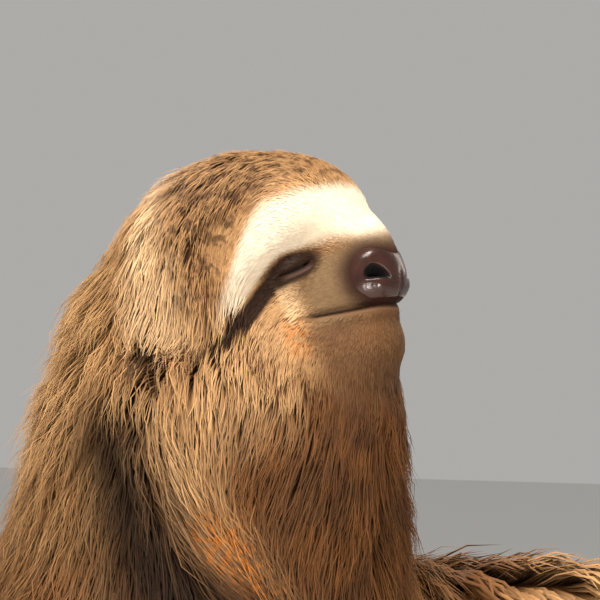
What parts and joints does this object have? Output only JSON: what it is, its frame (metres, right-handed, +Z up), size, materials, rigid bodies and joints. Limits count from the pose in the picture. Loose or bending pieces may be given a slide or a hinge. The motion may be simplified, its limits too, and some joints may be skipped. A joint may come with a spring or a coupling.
{
  "type": "three-toed sloth",
  "caption": "Seated three-toed sloth at life size, chin raised, an arm reaching forward and the other hand on the floor.",
  "frame": {"origin": "on the floor, under the middle of the whole model's box", "axes": "+Z up; the sloth faces -Y, and its left side is +X"},
  "size_m": [0.2676, 0.4092, 0.431],
  "materials": {
    "coat_brown": "long coarse brown coat",
    "coat_pale": "tan coat with a cream brow and dark eye stripes",
    "nose_skin": "moist black-brown leathery skin",
    "eye_dark": "wet dark eye",
    "ear_skin": "dark bare skin",
    "claw_horn": "yellowish brown horn"
  },
  "bodies": {
    "root": {"belly": "coat_brown", "chest": "coat_brown", "ear_left": "ear_skin", "ear_right": "ear_skin", "eye_left": "eye_dark", "eye_right": "eye_dark", "foot_left": "coat_brown", "foot_left_claw_1": "claw_horn", "foot_left_claw_2": "claw_horn", "foot_left_claw_3": "claw_horn", "foot_right": "coat_brown", "foot_right_claw_1": "claw_horn", "foot_right_claw_2": "claw_horn", "foot_right_claw_3": "claw_horn", "forearm_left": "coat_brown", "forearm_right": "coat_brown", "hand_left": "coat_brown", "hand_left_claw_1": "claw_horn", "hand_left_claw_2": "claw_horn", "hand_left_claw_3": "claw_horn", "hand_right": "coat_brown", "hand_right_claw_1": "claw_horn", "hand_right_claw_2": "claw_horn", "hand_right_claw_3": "claw_horn", "head": "coat_pale", "hips": "coat_brown", "neck": "coat_brown", "nose": "nose_skin", "shin_left": "coat_brown", "shin_right": "coat_brown", "tail": "coat_brown", "thigh_left": "coat_brown", "thigh_right": "coat_brown", "upper_arm_left": "coat_brown", "upper_arm_right": "coat_brown"}
  },
  "joints": []
}
